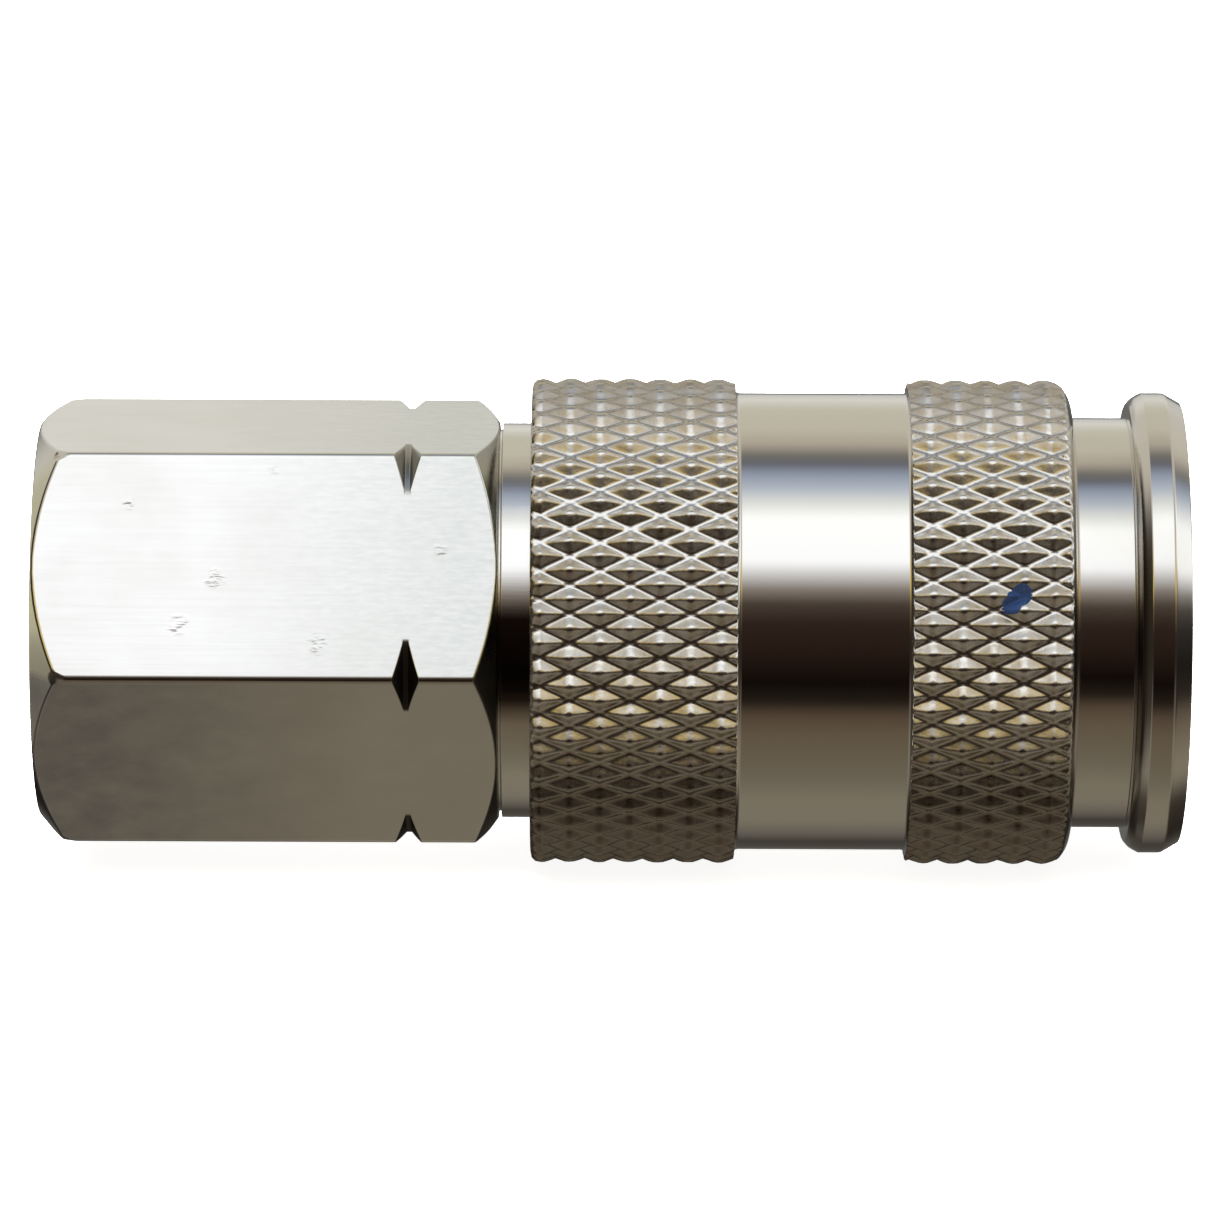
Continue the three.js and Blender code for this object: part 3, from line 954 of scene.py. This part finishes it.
SIDE_SKY = [
    (-180, 0.07, 0.065, 0.06), (-165, 0.025, 0.02, 0.018), (-135, 0.02, 0.016, 0.012),
    (-112, 0.045, 0.038, 0.03), (-97, 0.08, 0.068, 0.055), (-82, 0.26, 0.23, 0.19),
    (-51, 0.27, 0.24, 0.2), (-26, 0.13, 0.11, 0.09), (-10, 0.04, 0.032, 0.025),
    (8, 0.03, 0.024, 0.018), (24, 0.2, 0.15, 0.08), (34, 0.8, 0.6, 0.17), (44, 0.85, 0.66, 0.25),
    (54, 0.7, 0.62, 0.5), (72, 0.62, 0.59, 0.55), (95, 0.68, 0.65, 0.59), (112, 0.66, 0.62, 0.55),
    (139, 0.72, 0.68, 0.6), (165, 0.7, 0.68, 0.63), (176, 0.42, 0.41, 0.38), (180, 0.25, 0.24, 0.22),
]
# Past the coupler's port end.
PORT_SKY = [
    (-180, 0.66, 0.64, 0.43), (-160, 0.62, 0.6, 0.42), (-145, 0.42, 0.4, 0.3), (-120, 0.22, 0.2, 0.15),
    (-90, 0.06, 0.05, 0.04), (0, 0.03, 0.024, 0.018), (120, 0.04, 0.032, 0.024),
    (136, 0.1, 0.09, 0.07), (150, 0.5, 0.49, 0.38), (168, 0.66, 0.64, 0.45), (180, 0.66, 0.64, 0.43),
]
# Past its nose end.
NOSE_SKY = [
    (-180, 0.3, 0.28, 0.24), (-135, 0.34, 0.31, 0.25), (-100, 0.36, 0.32, 0.25),
    (-80, 0.28, 0.24, 0.18), (-62, 0.2, 0.165, 0.12), (-51, 0.13, 0.1, 0.075), (-42, 0.03, 0.025, 0.02),
    (-20, 0.015, 0.012, 0.01), (10, 0.035, 0.03, 0.028),
    (26, 0.08, 0.07, 0.06), (37, 0.28, 0.26, 0.24), (47, 0.8, 0.8, 0.82), (56, 1.35, 1.37, 1.4),
    (85, 1.4, 1.45, 1.5), (94, 1.05, 1.1, 1.15), (103, 0.6, 0.68, 0.82), (112, 0.32, 0.38, 0.5),
    (118, 0.12, 0.12, 0.13), (124, 0.2, 0.19, 0.17), (132, 0.55, 0.5, 0.43), (145, 0.55, 0.52, 0.44),
    (168, 0.35, 0.33, 0.28), (180, 0.3, 0.28, 0.24),
]
# Sines of the sideways angles over which one sky gives way to the next.
SOFTBOX_FADE, PORT_FADE, NOSE_FADE = (0.2, 0.42), (-0.6, -0.78), (0.56, 0.74)


def floor():
    reach = 3.0
    mesh = bpy.data.meshes.new("floor")
    low = -KNURL * MM
    corners = [(-reach, -reach, low), (reach, -reach, low), (reach, reach, low), (-reach, reach, low)]
    mesh.from_pydata(corners, [], [(0, 1, 2, 3)])
    piece = bpy.data.objects.new("floor", mesh)
    bpy.context.scene.collection.objects.link(piece)
    n = Surface("pale_floor")
    looks = {
        "Base Color": colour(0.9, 0.9, 0.9), "Roughness": 0.9, "Specular IOR Level": 0.0,
        "Emission Color": colour(1, 1, 1), "Emission Strength": 0.9,
    }
    for socket, value in looks.items():
        n.shader.inputs[socket].default_value = value
    mesh.materials.append(n.material)
    piece.visible_glossy = False


def sky(n, turn, stops):
    """The colour of one sky, where turn is the direction's angle as a share of a full turn."""
    ramp = n.add("ShaderNodeValToRGB", Fac=turn)
    band = ramp.color_ramp
    while len(band.elements) < len(stops):
        band.elements.new(0.5)
    for element, (degrees, *shade) in zip(band.elements, stops):
        element.position = (degrees + 180) / 360
        element.color = (*[c / BRIGHTEST for c in shade], 1)
    return ramp.outputs["Color"]


def reflected_room(n):
    """What reflections see in each direction.

    One sky lies square to the coupler's length: a softbox above the camera, a pale room over and
    behind it, a dark gap in front and a dim warm table below. Off to the sides the softbox ends,
    so the knurl's slanted faces see a duller, yellower sky, and past either end there is another.
    """
    direction = n.add("ShaderNodeTexCoord").outputs["Generated"]
    x, y, z = n.add("ShaderNodeSeparateXYZ", Vector=direction).outputs
    angle = n.calculate("ARCTAN2", z, n.calculate("MULTIPLY", y, -1))
    turn = n.span(angle, -math.pi, math.pi, 0.0, 1.0)

    def fade(value, reach):
        return n.span(value, *reach, 0.0, 1.0, "SMOOTHSTEP")

    aside = n.calculate("ABSOLUTE", x)
    room = n.mix(fade(aside, SOFTBOX_FADE), sky(n, turn, SQUARE_SKY), sky(n, turn, SIDE_SKY))
    room = n.mix(fade(x, PORT_FADE), room, sky(n, turn, PORT_SKY))
    return n.mix(fade(x, NOSE_FADE), room, sky(n, turn, NOSE_SKY))


def studio():
    """A soft studio for the reflections, with white behind the coupler for the camera."""
    world = bpy.data.worlds.new("studio")
    bpy.context.scene.world = world
    world.use_nodes = True
    world.node_tree.nodes.clear()
    n = Nodes(world.node_tree)
    room = n.add("ShaderNodeBackground", Color=reflected_room(n), Strength=BRIGHTEST)
    seen = n.add("ShaderNodeBackground", Color=colour(1, 1, 1))
    choose = n.add("ShaderNodeMixShader", Fac=n.add("ShaderNodeLightPath").outputs["Is Camera Ray"])
    n.set(choose.inputs[1], room.outputs[0])
    n.set(choose.inputs[2], seen.outputs[0])
    n.add("ShaderNodeOutputWorld", Surface=choose.outputs[0])


def overhead_lamp():
    lamp = bpy.data.lights.new("overhead", "AREA")
    lamp.shape, lamp.size, lamp.energy = "DISK", 1.6, 60
    light = bpy.data.objects.new("overhead", lamp)
    light.location = (0, 0, 1.0)
    light.visible_glossy = False
    bpy.context.scene.collection.objects.link(light)


def camera():
    """A long lens 382 mm from the axis, 15 degrees above it, square to the coupler's length."""
    distance, aside, above, roll = 382 * MM, -0.14 * MM, 0.64 * MM, math.radians(0.24)
    data = bpy.data.cameras.new("camera")
    data.sensor_width, data.lens = 36, 237.2
    data.clip_start, data.clip_end = 0.01, 20
    view = bpy.data.objects.new("camera", data)
    back = Vector((0, -math.cos(CAMERA_HEIGHT), math.sin(CAMERA_HEIGHT)))
    up = Vector((0, math.sin(CAMERA_HEIGHT), math.cos(CAMERA_HEIGHT)))
    middle = (cad_low + cad_high) / 2
    turn = back.to_track_quat("Z", "Y").to_matrix().to_4x4() @ Matrix.Rotation(roll, 4, "Z")
    place = middle + Vector((aside, 0, 0)) + up * above + back * distance
    view.matrix_world = Matrix.Translation(place) @ turn
    bpy.context.scene.collection.objects.link(view)
    bpy.context.scene.camera = view


# ---------------------------------------------------------------- build

camera()
studio()
overhead_lamp()
floor()
adapter()
sleeve()
nose()
balls()
keeper()
seals()
rings()
valve()
spider()
springs()
paint_mark()

bpy.context.scene.view_settings.view_transform = "Standard"

bpy.context.view_layer.update()
